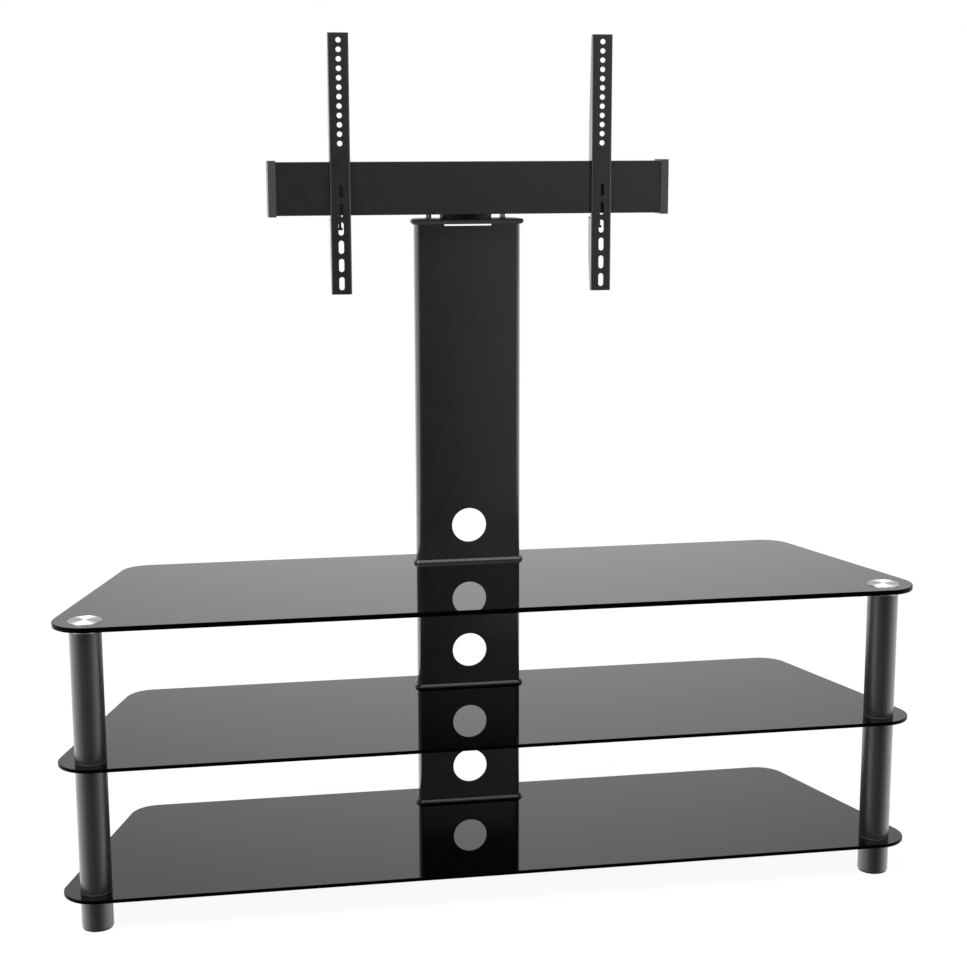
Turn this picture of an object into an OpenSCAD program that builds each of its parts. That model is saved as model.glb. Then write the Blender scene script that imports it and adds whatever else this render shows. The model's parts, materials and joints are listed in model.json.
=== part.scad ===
// Floor stand for a television: three glass shelves on two tubular front legs and a cable column at
// the back, with a swivelling crossbar that carries two sliding bracket arms.
// Millimetres, +Z up, front towards -Y. The origin is on the floor, midway across and midway deep.

/* [Shelves] */
// Greatest width of each glass shelf
shelf_w = 1400; // [1200:10:1600]
// Depth of each glass shelf
shelf_d = 410; // [380:5:450]
// Angle by which each side edge runs in towards the back
side_angle = 17.8; // [12:0.1:20]
// Radius of the two front corners
front_corner_r = 52; // [40:1:60]
// Radius of the two back corners
back_corner_r = 49; // [30:1:60]
// Thickness of the top shelf, which is the thicker one
top_glass_t = 8; // [6:1:10]
// Thickness of the middle and bottom shelves
glass_t = 6; // [5:1:8]
// Height of the underside of the bottom shelf above the floor
bottom_z = 55; // [50:1:80]
// Height of the underside of the middle shelf above the floor
middle_z = 269.5; // [250:0.5:290]
// Height of the underside of the top shelf above the floor
top_z = 493; // [470:1:510]

/* [Legs] */
// Outer diameter of the leg tubes
leg_d = 50; // [40:1:51]
// Wall of the leg tubes
leg_wall = 2; // [1.5:0.5:3]
// Distance of each leg axis from the middle of the stand
leg_x = 649; // [640:1:655]
// Distance of each leg axis behind the front edge of the glass
leg_inset = 44; // [42:1:60]
// Diameter of the spun disc on the top shelf above each leg
disc_d = 53; // [52:1:60]

/* [Column] */
// Greatest width of the column
column_w = 182; // [176:1:190]
// Distance of the front face of the column behind the middle of the shelves
column_front = 126; // [120:1:128]
// Depth of the column from its front face to its back face
column_d = 62; // [60:1:66]
// Wall of the column sections
column_wall = 3; // [2:0.5:3.5]
// Radius of the bowed sides of the column
column_side_r = 135; // [120:5:200]
// Height of the top of the column above the floor
column_top = 1087.5; // [1040:0.5:1120]
// Width of the gap between the back lips, which leaves the column open behind
back_gap_w = 116; // [90:1:124]
// Diameter of the round cable holes in the front wall
cable_hole_d = 60; // [50:1:64]
// Height of each cable hole's centre above the shelf below it
cable_hole_rise = 66; // [60:1:80]
// Thickness of the collar plates that stand on the glass
collar_t = 6; // [5:0.5:7]

/* [Swivel] */
// Angle that the crossbar turns to each side
swivel_limit = 15; // [5:1:15]
// Diameter of the friction disc that the crossbar turns on
swivel_disc_d = 88; // [80:1:92]
// Distance of each limit bolt from the pivot
limit_bolt_x = 65.5; // [62:0.5:66]

/* [Crossbar] */
// Length of the crossbar with its end caps
bar_l = 676; // [600:2:720]
// Height of the crossbar
bar_h = 87; // [80:1:90]
// Depth of the crossbar
bar_d = 40; // [36:1:44]

/* [Arms] */
// Length of the bracket arms
arm_l = 423; // [415:1:440]
// Width of the bracket arms
arm_w = 34; // [32:1:38]
// Distance of each arm from the middle of the crossbar, as shown
arm_x = 220; // [110:5:280]
// Spacing of the round screw holes in the arms
hole_pitch = 15; // [15:0.5:16]
// Diameter of the round screw holes
hole_d = 8.8; // [6.6:0.1:9]

/* [Hidden] */
$fn = 96;

// Colours
black_steel = [0.13, 0.13, 0.135];
black_glass = [0.2, 0.21, 0.22];
tube_grey = [0.27, 0.27, 0.28];
zinc = [0.62, 0.65, 0.7];
rubber_black = [0.06, 0.06, 0.06];

// Small overlap that makes a cut run clean through
cut = 1;
// Radial play round a bolt or stud that passes or screws in
play = 0.05;

// Heights of the upper faces of the glass
bottom_face = bottom_z + glass_t;
middle_face = middle_z + glass_t;
top_face = top_z + top_glass_t;

// Leg fittings
leg_y = -shelf_d / 2 + leg_inset;
washer_t = 1;
glide_t = 3;
boss_t = 6.5;
plug_l = 16;
stud_d = 10;
stud_reach = 12;
disc_t = 2;

// Column section and its fittings
column_back = column_front + column_d;
column_wide_y = column_front + 7;
column_front_r = 9;
column_back_r = 14;
pad_t = 1;
collar_side = 5.5;
collar_lip = 2;
base_glide_h = 8;
base_t = 4;
end_plate_t = 4;
tie_d = 8;
tie_x = 70;
tie_front_y = column_front + 16;
tie_back_y = column_back - 15;
tie_play = 1;

// Thin slot at the top of the front wall, under the cap
slot_w = 81;
slot_h = 2.7;
slot_corner_r = 1;

// Cap, friction disc and pivot
cap_h = 8.5;
cap_side_low = 3;
cap_side_high = 6;
cap_lip = 2;
cap_wide_z = [3.5, 5.2];
cap_top = column_top + cap_h;
pivot_y = column_front + 24;
pivot_d = 12;
pivot_head_d = 22;
pivot_head_t = 4.5;
disc_gap = 0.1;
swivel_disc_t = 9.4;
plate_z = cap_top + swivel_disc_t + disc_gap;
plate_t = 5;
limit_d = 6;
limit_slot_w = 8.6;
limit_nut_af = 11;
limit_nut_t = 8.7;

// Hexagons and heads of the fasteners
m6_af = 10;
m8_af = 13;
m8_head_t = 5.3;
m8_nut_t = 6.5;
m8_washer_d = 16;
m8_washer_t = 1.6;

// Crossbar, with a groove along its top and its underside that the arms hook into
bar_z = plate_z;
bar_top = bar_z + bar_h;
bar_front = column_front - bar_d + 0.4;
bar_back = bar_front + bar_d;
bar_wall = 2.5;
end_cap_w = 13;
end_cap_proud = 2.2;
groove_in = 6;
groove_w = 4;
groove_h = 5;
bracket_half = 95;
upright_h = 78;
bar_bolt_x = 70;
bar_bolt_d = 8;
bar_bolt_z = [plate_z + 28, plate_z + 62];

// Bracket arms
arm_t = 2.5;
arm_front = bar_front - 9.5;
arm_top = bar_top + 206.5;
arm_bottom = arm_top - arm_l;
arm_bend_r = 3;
flange_d = 23;
flange_end_d = 11;
flange_notch_d = 9.2;
hook_rest = 0.2;
tooth_h = 4.3;
tooth_w = 3.2;
lift_gap = 6;
taper_top_l = 141;
taper_bottom_l = 65;
first_hole_down = 11.7;
hole_count = 12;
slot_hole_w = 8.6;
slot_hole_l = 21.6;
slot_hole_up = 18;
slot_hole_pitch = 2 * hole_pitch;
slot_hole_count = 6;

// Locking screws, one behind each arm, that close the groove under the crossbar
lock_y = bar_front + groove_in + groove_w / 2;
lock_d = 3.2;
lock_thread_d = 5;
lock_head_d = 9;
lock_head_t = 4;
lock_head_z = bar_z - 24.5;
lock_tip_z = bar_z + 3;
tab_t = 3;
tab_z = bar_z - 10.5;

// A bar or tube along Z from z0 to z1
module rod(d, z0, z1) {
    translate([0, 0, z0])
        cylinder(d = d, h = z1 - z0);
}

// A hexagon across flats, from z0 to z1
module hex(af, z0, z1) {
    translate([0, 0, z0])
        cylinder(d = af / cos(30), h = z1 - z0, $fn = 6);
}

module mirrored() {
    children();
    mirror([1, 0, 0])
        children();
}

// Outline of a shelf: straight front, back and slanted sides, joined by true arcs
module shelf_outline() {
    n = [cos(side_angle), sin(side_angle)];
    front = [shelf_w / 2 - front_corner_r, -shelf_d / 2 + front_corner_r];
    back_y = shelf_d / 2 - back_corner_r;
    run_in = front_corner_r - back_corner_r - (back_y - front[1]) * n[1];
    back = [front[0] + run_in / n[0], back_y];
    right = [
        [front[0], -shelf_d / 2], front + front_corner_r * n,
        back + back_corner_r * n, [back[0], shelf_d / 2]
    ];
    left = [for (i = [3:-1:0]) [-right[i][0], right[i][1]]];
    polygon(concat(right, left));
    mirrored() {
        translate(front)
            circle(front_corner_r);
        translate(back)
            circle(back_corner_r);
    }
}

module leg_places() {
    for (side = [-1, 1])
        translate([side * leg_x, leg_y, 0])
            children();
}

module tie_places() {
    for (x = [-tie_x, tie_x], y = [tie_front_y, tie_back_y])
        translate([x, y, 0])
            children();
}

module glass_shelf(z, t) {
    color(black_glass)
        difference() {
            translate([0, 0, z])
                linear_extrude(t)
                    shelf_outline();
            leg_places()
                rod(stud_d + 2, z - cut, z + t + cut);
            tie_places()
                rod(tie_d + 2, z - cut, z + t + cut);
        }
}

module glass_shelf_top() {
    glass_shelf(top_z, top_glass_t);
}

module glass_shelf_middle() {
    glass_shelf(middle_z, glass_t);
}

module glass_shelf_bottom() {
    glass_shelf(bottom_z, glass_t);
}

// Legs, described for the right-hand side and mirrored for the left
module at_leg(side) {
    translate([side * leg_x, leg_y, 0])
        children();
}

module leg_tube(side, z0, z1) {
    color(tube_grey)
        at_leg(side)
            difference() {
                rod(leg_d, z0, z1);
                rod(leg_d - 2 * leg_wall, z0 - cut, z1 + cut);
            }
}

upper_tube_z = [middle_face + washer_t, top_z - boss_t];
lower_tube_z = [bottom_face + washer_t, middle_z - washer_t];
foot_tube_z = [glide_t, bottom_z - washer_t];

module upper_tube(side) {
    leg_tube(side, upper_tube_z[0], upper_tube_z[1]);
}

module lower_tube(side) {
    leg_tube(side, lower_tube_z[0], lower_tube_z[1]);
}

module foot_tube(side) {
    leg_tube(side, foot_tube_z[0], foot_tube_z[1]);
}

// Plugs pressed into the tube ends, bored for the studs
module tube_plugs(side) {
    starts = [
        foot_tube_z[0], foot_tube_z[1] - plug_l,
        lower_tube_z[0], lower_tube_z[1] - plug_l,
        upper_tube_z[0], upper_tube_z[1] - plug_l
    ];
    color(zinc)
        at_leg(side)
            for (z = starts)
                difference() {
                    rod(leg_d - 2 * leg_wall - 0.1, z, z + plug_l);
                    rod(stud_d + 2 * play, z - cut, z + plug_l + cut);
                }
}

module leg_studs(side) {
    color(zinc)
        at_leg(side) {
            rod(stud_d, bottom_z - stud_reach, bottom_face + stud_reach);
            rod(stud_d, middle_z - stud_reach, middle_face + stud_reach);
        }
}

// Rubber washers that keep the metal off the glass
module glass_washers(side) {
    color(rubber_black)
        at_leg(side)
            for (z = [foot_tube_z[1], bottom_face, lower_tube_z[1], middle_face])
                difference() {
                    rod(leg_d - 0.6, z, z + washer_t);
                    rod(stud_d + 2, z - cut, z + washer_t + cut);
                }
}

// Bright ring between the upper tube and the top shelf
module top_boss(side) {
    color(zinc)
        at_leg(side)
            difference() {
                rod(leg_d, upper_tube_z[1], top_z);
                rod(stud_d + 2, upper_tube_z[1] - cut, top_z + cut);
            }
}

// Spun disc on the top shelf, turned in one piece with the stud that holds the leg
module top_disc(side) {
    color("silver")
        at_leg(side) {
            rod(stud_d, upper_tube_z[1] - stud_reach, top_face + 0.1);
            translate([0, 0, top_face])
                rotate_extrude()
                    polygon([
                        [0, 0], [disc_d / 2, 0], [disc_d / 2, disc_t - 0.8],
                        [disc_d / 2 - 0.8, disc_t], [0, disc_t]
                    ]);
        }
}

module foot_glide(side) {
    color(rubber_black)
        at_leg(side)
            difference() {
                union() {
                    rod(leg_d - 3, 0, glide_t);
                    rod(stud_d, 0, glide_t + stud_reach);
                }
                rod(4, glide_t + 4, glide_t + stud_reach + cut);
            }
}

// Section of the column: flat front and back, bowed sides and round corners, all true arcs
module column_profile(side_out = 0, face_out = 0, front_r = column_front_r, back_r = column_back_r) {
    half = column_w / 2 + side_out;
    big = column_side_r + side_out;
    y0 = column_front - face_out;
    y1 = column_back + face_out;
    bow = [half - big, column_wide_y];
    front = [
        bow[0] + sqrt(pow(big - front_r, 2) - pow(y0 + front_r - bow[1], 2)), y0 + front_r
    ];
    back = [
        bow[0] + sqrt(pow(big - back_r, 2) - pow(y1 - back_r - bow[1], 2)), y1 - back_r
    ];
    front_touch = bow + (front - bow) * big / (big - front_r);
    back_touch = bow + (back - bow) * big / (big - back_r);
    right = [
        [front[0], y0], front_touch, [half + 20, (y0 + y1) / 2], back_touch, [back[0], y1]
    ];
    left = [for (i = [4:-1:0]) [-right[i][0], right[i][1]]];
    intersection() {
        polygon(concat(right, left));
        translate(bow)
            circle(big);
        translate([-bow[0], bow[1]])
            circle(big);
    }
    mirrored() {
        translate(front)
            circle(front_r);
        translate(back)
            circle(back_r);
    }
}

// Channel section: a closed front and sides, and two lips that leave the back open for cables
module column_channel(z0, z1) {
    inner_r = [column_front_r - column_wall, column_back_r - column_wall];
    translate([0, 0, z0])
        linear_extrude(z1 - z0)
            difference() {
                column_profile();
                column_profile(-column_wall, -column_wall, inner_r[0], inner_r[1]);
                translate([-back_gap_w / 2, column_back - column_wall - cut])
                    square([back_gap_w, column_wall + 2 * cut]);
            }
}

// Round hole through the front wall, for the cables of one shelf
module cable_hole(face) {
    translate([0, column_front - cut, face + cable_hole_rise])
        rotate([-90, 0, 0])
            cylinder(d = cable_hole_d, h = column_wall + 2 * cut);
}

module column_section(face, underside) {
    color(black_steel)
        difference() {
            column_channel(face + collar_t, underside - pad_t);
            cable_hole(face);
        }
}

module column_lower() {
    column_section(bottom_face, middle_z);
}

module column_middle() {
    column_section(middle_face, top_z);
}

// The tall section ends in a welded plate below, for the tie bolts, and four screw bosses above
module column_upper() {
    foot = top_face + collar_t;
    boss_l = 30;
    color(black_steel)
        difference() {
            union() {
                column_channel(foot, column_top);
                translate([0, 0, foot])
                    linear_extrude(end_plate_t)
                        column_profile(-1, -1);
                intersection() {
                    cap_screw_places()
                        rod(11, column_top - boss_l, column_top);
                    translate([0, 0, column_top - boss_l])
                        linear_extrude(boss_l)
                            column_profile(-1, -1);
                }
            }
            cable_hole(top_face);
            tie_places()
                rod(tie_d + tie_play, foot - cut, foot + end_plate_t + cut);
            cap_screw_places()
                rod(4 + 2 * play, column_top - 18, column_top + cut);
            front_slot();
        }
}

// Slot with round lower corners, open at the top of the wall
module front_slot() {
    depth = column_wall + 2 * cut;
    translate([0, column_front - cut, column_top - slot_h]) {
        for (x = [-slot_w / 2 + slot_corner_r, slot_w / 2 - slot_corner_r])
            translate([x, 0, slot_corner_r])
                rotate([-90, 0, 0])
                    cylinder(r = slot_corner_r, h = depth);
        translate([-slot_w / 2 + slot_corner_r, 0, 0])
            cube([slot_w - 2 * slot_corner_r, depth, slot_h + cut]);
        translate([-slot_w / 2, 0, slot_corner_r])
            cube([slot_w, depth, slot_h - slot_corner_r + cut]);
    }
}

module column_foot() {
    color(black_steel)
        column_channel(base_glide_h + base_t, bottom_z - pad_t);
}

// Slice of the column's outline from z0 to z1, moved out at the sides and at the faces, for a hull
module slice(z0, z1, side_out, face_out, corner_r) {
    translate([0, 0, z0])
        linear_extrude(z1 - z0)
            column_profile(side_out, face_out, corner_r, $fn = 48);
}

// Moulded plate round the foot of a section, with its upper edge rounded
module collar(face) {
    color(black_steel)
        difference() {
            translate([0, 0, face])
                hull() {
                    slice(0, 0.4 * collar_t, collar_side, collar_lip, column_front_r);
                    slice(0, 0.75 * collar_t, collar_side - 1, collar_lip - 0.6, column_front_r);
                    slice(0, collar_t, collar_side - 3.2, collar_lip - 1.6, column_front_r);
                }
            tie_places()
                rod(tie_d + tie_play, face - cut, face + collar_t + cut);
        }
}

module collar_top() {
    collar(top_face);
}

module collar_middle() {
    collar(middle_face);
}

module collar_bottom() {
    collar(bottom_face);
}

// Rubber pads under the glass, one for each shelf
module column_pads() {
    color(rubber_black)
        for (z = [bottom_z, middle_z, top_z])
            difference() {
                translate([0, 0, z - pad_t])
                    linear_extrude(pad_t)
                        column_profile();
                tie_places()
                    rod(tie_d + tie_play, z - pad_t - cut, z + cut);
            }
}

module base_plate() {
    plate_w = 230;
    plate_d = 92;
    corner = 12;
    mid_y = (column_front + column_back) / 2;
    color(black_steel)
        difference() {
            translate([0, mid_y, base_glide_h])
                linear_extrude(base_t) {
                    square([plate_w - 2 * corner, plate_d], center = true);
                    square([plate_w, plate_d - 2 * corner], center = true);
                    for (x = [-1, 1], y = [-1, 1])
                        translate([x * (plate_w / 2 - corner), y * (plate_d / 2 - corner)])
                            circle(corner);
                }
            tie_places()
                rod(tie_d + tie_play, base_glide_h - cut, base_glide_h + base_t + cut);
        }
}

module base_glides() {
    mid_y = (column_front + column_back) / 2;
    color(rubber_black)
        for (x = [-100, 100], y = [mid_y - 31, mid_y + 31])
            translate([x, y, 0])
                rod(24, 0, base_glide_h);
}

// Long bolts from the base plate up through every shelf into the tall section
module tie_bolts() {
    color(zinc)
        tie_places() {
            hex(m8_af, base_glide_h - m8_head_t, base_glide_h);
            rod(tie_d, base_glide_h - 0.1, top_face + collar_t + end_plate_t + 12);
        }
}

module tie_nuts() {
    z0 = top_face + collar_t + end_plate_t;
    color(zinc)
        tie_places()
            difference() {
                union() {
                    rod(m8_washer_d, z0, z0 + m8_washer_t);
                    hex(m8_af, z0 + m8_washer_t - 0.1, z0 + m8_washer_t + m8_nut_t);
                }
                rod(tie_d + 2 * play, z0 - cut, z0 + m8_washer_t + m8_nut_t + cut);
            }
}

module cap_screw_places() {
    mirrored() {
        translate([80, column_front + 9, 0])
            children();
        translate([75, column_back - 9, 0])
            children();
    }
}

// Arc slot that a limit bolt runs in, round the pivot
module limit_slot() {
    z0 = column_top - cut;
    h = cap_h + 2 * cut;
    sweep = 2 * (swivel_limit + 1);
    translate([0, pivot_y, z0]) {
        rotate([0, 0, -sweep / 2])
            rotate_extrude(angle = sweep)
                translate([limit_bolt_x - limit_slot_w / 2, 0])
                    square([limit_slot_w, h]);
        for (a = [-sweep / 2, sweep / 2])
            rotate([0, 0, a])
                translate([limit_bolt_x, 0, 0])
                    cylinder(d = limit_slot_w, h = h);
    }
}

// Cap on the column, widest at its middle, with the counterbore of the pivot bolt in its underside
module column_cap() {
    color(black_steel)
        difference() {
            hull() {
                slice(column_top, cap_top - 1, cap_side_low, 0.5, 5);
                slice(column_top + cap_wide_z[0], column_top + cap_wide_z[1], cap_side_high, cap_lip, 5);
                slice(column_top + cap_wide_z[0], cap_top - 1, cap_side_high - 1, cap_lip - 0.6, 5);
                slice(column_top + cap_wide_z[0], cap_top, cap_side_high - 3, cap_lip - 1.6, 5);
            }
            mirrored()
                limit_slot();
            translate([0, pivot_y, 0]) {
                rod(pivot_d + 2 * play, column_top - cut, cap_top + cut);
                rod(pivot_head_d + 0.6, column_top - cut, column_top + pivot_head_t + 0.5);
            }
            cap_screw_places() {
                rod(4.6, column_top - cut, cap_top + cut);
                rod(9, cap_top - 3, cap_top + cut);
            }
        }
}

module cap_screws() {
    color(black_steel)
        cap_screw_places() {
            rod(8.6, cap_top - 3, cap_top - 0.2);
            rod(4, column_top - 14, cap_top - 2.9);
        }
}

module swivel_disc() {
    color(rubber_black)
        translate([0, pivot_y, 0])
            difference() {
                rod(swivel_disc_d, cap_top, cap_top + swivel_disc_t);
                rod(pivot_d + 2 * play, cap_top - cut, cap_top + swivel_disc_t + cut);
            }
}

pivot_washer_t = 1.8;
pivot_nut_t = 10;

module pivot_bolt() {
    head_z = column_top + 0.5;
    color(zinc)
        translate([0, pivot_y, 0]) {
            rod(pivot_head_d, head_z, head_z + pivot_head_t);
            rod(pivot_d, head_z + pivot_head_t - 0.1, plate_z + plate_t + pivot_washer_t + pivot_nut_t + 3);
        }
}

module pivot_nut() {
    z0 = plate_z + plate_t + 0.1;
    color(zinc)
        translate([0, pivot_y, 0])
            difference() {
                union() {
                    rod(30, z0, z0 + pivot_washer_t);
                    hex(19, z0 + pivot_washer_t - 0.1, z0 + pivot_washer_t + pivot_nut_t - 3);
                    rod(17, z0 + pivot_washer_t + pivot_nut_t - 3.1, z0 + pivot_washer_t + pivot_nut_t);
                }
                rod(pivot_d + 2 * play, z0 - cut, z0 + pivot_washer_t + pivot_nut_t + cut);
            }
}

// Bent plate: its foot turns on the friction disc and its upright carries the crossbar
module swivel_bracket() {
    bend = 8;
    foot_back = column_back + 1;
    gusset_t = 4;
    color(black_steel)
        difference() {
            union() {
                translate([-bracket_half, 0, 0])
                    rotate([90, 0, 90])
                        linear_extrude(2 * bracket_half)
                            difference() {
                                union() {
                                    translate([bar_back + bend, plate_z])
                                        square([foot_back - bar_back - bend, plate_t]);
                                    translate([bar_back, plate_z + bend])
                                        square([plate_t, upright_h - bend]);
                                    intersection() {
                                        translate([bar_back + bend, plate_z + bend])
                                            circle(bend);
                                        translate([bar_back, plate_z])
                                            square(bend);
                                    }
                                }
                                translate([bar_back + bend, plate_z + bend])
                                    circle(bend - plate_t);
                            }
                for (x = [-bracket_half, bracket_half - gusset_t])
                    translate([x, 0, 0])
                        rotate([90, 0, 90])
                            linear_extrude(gusset_t)
                                polygon([
                                    [bar_back + 3, plate_z + 3], [foot_back - 4, plate_z + 3],
                                    [foot_back - 4, plate_z + 9], [bar_back + 12, plate_z + upright_h - 6],
                                    [bar_back + 3, plate_z + upright_h - 6]
                                ]);
            }
            translate([0, pivot_y, 0])
                rod(pivot_d + 2 * play, plate_z - cut, plate_z + plate_t + cut);
            for (x = [-limit_bolt_x, limit_bolt_x])
                translate([x, pivot_y, 0])
                    rod(limit_d + 2 * play, plate_z - cut, plate_z + plate_t + cut);
            bar_bolt_places()
                cylinder(d = bar_bolt_d + 2 * play, h = plate_t + 2 * cut, center = true);
        }
}

// Places of the bolts through the upright, along Y from the middle of its thickness
module bar_bolt_places() {
    for (x = [-bar_bolt_x, bar_bolt_x], z = bar_bolt_z)
        translate([x, bar_back + plate_t / 2, z])
            rotate([-90, 0, 0])
                children();
}

module bar_bolts() {
    color(zinc)
        bar_bolt_places() {
            hex(m8_af, plate_t / 2, plate_t / 2 + m8_head_t);
            rod(bar_bolt_d, -plate_t / 2 - bar_wall - m8_nut_t - 1, plate_t / 2 + 0.1);
        }
}

// Nuts welded inside the back wall of the crossbar
module bar_nuts() {
    face = -plate_t / 2 - bar_wall;
    color(zinc)
        bar_bolt_places()
            difference() {
                hex(m8_af, face - m8_nut_t, face);
                rod(bar_bolt_d + 2 * play, face - m8_nut_t - cut, face + cut);
            }
}

// Bolts that run in the arc slots of the cap and stop the swivel
module limit_bolts() {
    color(zinc)
        for (x = [-limit_bolt_x, limit_bolt_x])
            translate([x, pivot_y, 0]) {
                hex(m6_af, plate_z + plate_t, plate_z + plate_t + 4);
                rod(limit_d, cap_top - 6, plate_z + plate_t + 0.1);
            }
}

module limit_nuts() {
    color(zinc)
        for (x = [-limit_bolt_x, limit_bolt_x])
            translate([x, pivot_y, 0])
                difference() {
                    rotate([0, 0, 30])
                        hex(limit_nut_af, plate_z - limit_nut_t, plate_z);
                    rod(limit_d + 2 * play, plate_z - limit_nut_t - cut, plate_z + cut);
                }
}

// Section of the crossbar in the YZ plane, its front lower corner at the origin
module bar_section() {
    groove_mid = groove_in + groove_w / 2;
    boss_w = groove_w + 2 * bar_wall;
    boss_h = groove_h + bar_wall;
    difference() {
        union() {
            difference() {
                square([bar_d, bar_h]);
                translate([bar_wall, bar_wall])
                    square([bar_d - 2 * bar_wall, bar_h - 2 * bar_wall]);
            }
            for (z = [0, bar_h - boss_h])
                translate([groove_mid - boss_w / 2, z])
                    square([boss_w, boss_h]);
        }
        for (z = [-cut, bar_h - groove_h])
            translate([groove_in, z])
                square([groove_w, groove_h + cut]);
    }
}

module crossbar() {
    length = bar_l - 2 * end_cap_w;
    color(black_steel)
        difference() {
            translate([-length / 2, bar_front, bar_z])
                rotate([90, 0, 90])
                    linear_extrude(length)
                        bar_section();
            bar_bolt_places()
                rod(bar_bolt_d + 2 * play, -plate_t / 2 - bar_wall - cut, cut);
        }
}

// Moulded end cap with a plug that fills the end of the crossbar behind the grooves
module bar_end_cap(side) {
    plug_in = 22;
    plug_y = groove_in + groove_w + 2 * bar_wall;
    x0 = side * (bar_l / 2 - end_cap_w);
    color([0.3, 0.3, 0.31])
        translate([x0, bar_front, bar_z])
            scale([side, 1, 1]) {
                translate([0, -end_cap_proud, -end_cap_proud])
                    cube([end_cap_w, bar_d + 2 * end_cap_proud, bar_h + 2 * end_cap_proud]);
                translate([-plug_in, plug_y, bar_wall + 0.2])
                    cube([plug_in + 1, bar_d - plug_y - bar_wall - 0.2, bar_h - 2 * bar_wall - 0.4]);
            }
}

// Section of an arm in the XY plane: a channel that is open to the back
module arm_section() {
    inner_r = arm_bend_r - arm_t;
    difference() {
        union() {
            translate([-arm_w / 2, arm_bend_r])
                square([arm_w, flange_d - arm_bend_r]);
            translate([-arm_w / 2 + arm_bend_r, 0])
                square([arm_w - 2 * arm_bend_r, flange_d]);
            for (side = [-1, 1])
                translate([side * (arm_w / 2 - arm_bend_r), arm_bend_r])
                    circle(arm_bend_r);
        }
        translate([-arm_w / 2 + arm_t, arm_t + inner_r])
            square([arm_w - 2 * arm_t, flange_d]);
        translate([-arm_w / 2 + arm_t + inner_r, arm_t])
            square([arm_w - 2 * arm_t - 2 * inner_r, flange_d]);
        for (side = [-1, 1])
            translate([side * (arm_w / 2 - arm_t - inner_r), arm_t + inner_r])
                circle(inner_r);
    }
}

// Side view of an arm as [depth, height]: tapered ends, and the notch that hooks on the crossbar
module arm_side_view() {
    rest_z = bar_top + hook_rest;
    tooth_mid = lock_y - arm_front;
    tooth_back = tooth_mid + tooth_w / 2;
    tooth_front = tooth_mid - tooth_w / 2;
    lower_z = bar_z - lift_gap;
    polygon([
        [0, arm_top], [flange_end_d, arm_top],
        [flange_d, arm_top - taper_top_l], [flange_d, rest_z],
        [tooth_back, rest_z], [tooth_back, bar_top - tooth_h],
        [tooth_front, bar_top - tooth_h], [tooth_front, rest_z],
        [flange_notch_d, rest_z], [flange_notch_d, lower_z - 3.5],
        [flange_d, lower_z], [flange_d, arm_bottom + taper_bottom_l],
        [flange_end_d, arm_bottom], [0, arm_bottom]
    ]);
}

module bracket_arm(side) {
    color(black_steel)
        translate([side * arm_x, arm_front, 0])
            difference() {
                intersection() {
                    translate([0, 0, arm_bottom])
                        linear_extrude(arm_l)
                            arm_section();
                    translate([-arm_w / 2 - cut, 0, 0])
                        rotate([90, 0, 90])
                            linear_extrude(arm_w + 2 * cut)
                                arm_side_view();
                }
                for (i = [0:hole_count - 1])
                    translate([0, -cut, arm_top - first_hole_down - i * hole_pitch])
                        rotate([-90, 0, 0])
                            cylinder(d = hole_d, h = arm_t + 2 * cut);
                for (i = [0:slot_hole_count - 1])
                    translate([0, -cut, arm_bottom + slot_hole_up + i * slot_hole_pitch])
                        screw_slot();
            }
}

// Upright slot with round ends, cut through the web of an arm
module screw_slot() {
    reach = (slot_hole_l - slot_hole_w) / 2;
    depth = arm_t + 2 * cut;
    for (z = [-reach, reach])
        translate([0, 0, z])
            rotate([-90, 0, 0])
                cylinder(d = slot_hole_w, h = depth);
    translate([-slot_hole_w / 2, 0, -reach])
        cube([slot_hole_w, depth, 2 * reach]);
}

// Threaded tab welded between the flanges of an arm
module lock_tab(side) {
    width = arm_w - 2 * arm_t;
    color(black_steel)
        translate([side * arm_x, 0, 0])
            difference() {
                translate([-width / 2, arm_front + arm_t + 1, tab_z])
                    cube([width, flange_d - arm_t - 4, tab_t]);
                translate([0, lock_y, 0])
                    rod(lock_thread_d + 2 * play, tab_z - cut, tab_z + tab_t + cut);
            }
}

module lock_screw(side) {
    color(black_steel)
        translate([side * arm_x, lock_y, 0]) {
            rod(lock_head_d, lock_head_z, lock_head_z + lock_head_t);
            rod(lock_thread_d, lock_head_z + lock_head_t - 0.1, bar_z - 1);
            rod(lock_d, bar_z - 1.1, lock_tip_z);
        }
}

glass_shelf_top();
glass_shelf_middle();
glass_shelf_bottom();
upper_tube(-1);  // upper_tube_left
upper_tube(1);  // upper_tube_right
lower_tube(-1);  // lower_tube_left
lower_tube(1);  // lower_tube_right
foot_tube(-1);  // foot_tube_left
foot_tube(1);  // foot_tube_right
tube_plugs(-1);  // tube_plugs_left
tube_plugs(1);  // tube_plugs_right
leg_studs(-1);  // leg_studs_left
leg_studs(1);  // leg_studs_right
glass_washers(-1);  // glass_washers_left
glass_washers(1);  // glass_washers_right
top_boss(-1);  // top_boss_left
top_boss(1);  // top_boss_right
top_disc(-1);  // top_disc_left
top_disc(1);  // top_disc_right
foot_glide(-1);  // foot_glide_left
foot_glide(1);  // foot_glide_right
column_upper();
column_middle();
column_lower();
column_foot();
collar_top();
collar_middle();
collar_bottom();
column_pads();
base_plate();
base_glides();
tie_bolts();
tie_nuts();
column_cap();
cap_screws();
swivel_disc();
pivot_bolt();
pivot_nut();
swivel_bracket();
limit_bolts();
limit_nuts();
bar_bolts();
bar_nuts();
crossbar();
bar_end_cap(-1);  // bar_end_cap_left
bar_end_cap(1);  // bar_end_cap_right
bracket_arm(-1);  // bracket_arm_left
bracket_arm(1);  // bracket_arm_right
lock_tab(-1);  // lock_tab_left
lock_tab(1);  // lock_tab_right
lock_screw(-1);  // lock_screw_left
lock_screw(1);  // lock_screw_right
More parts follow.
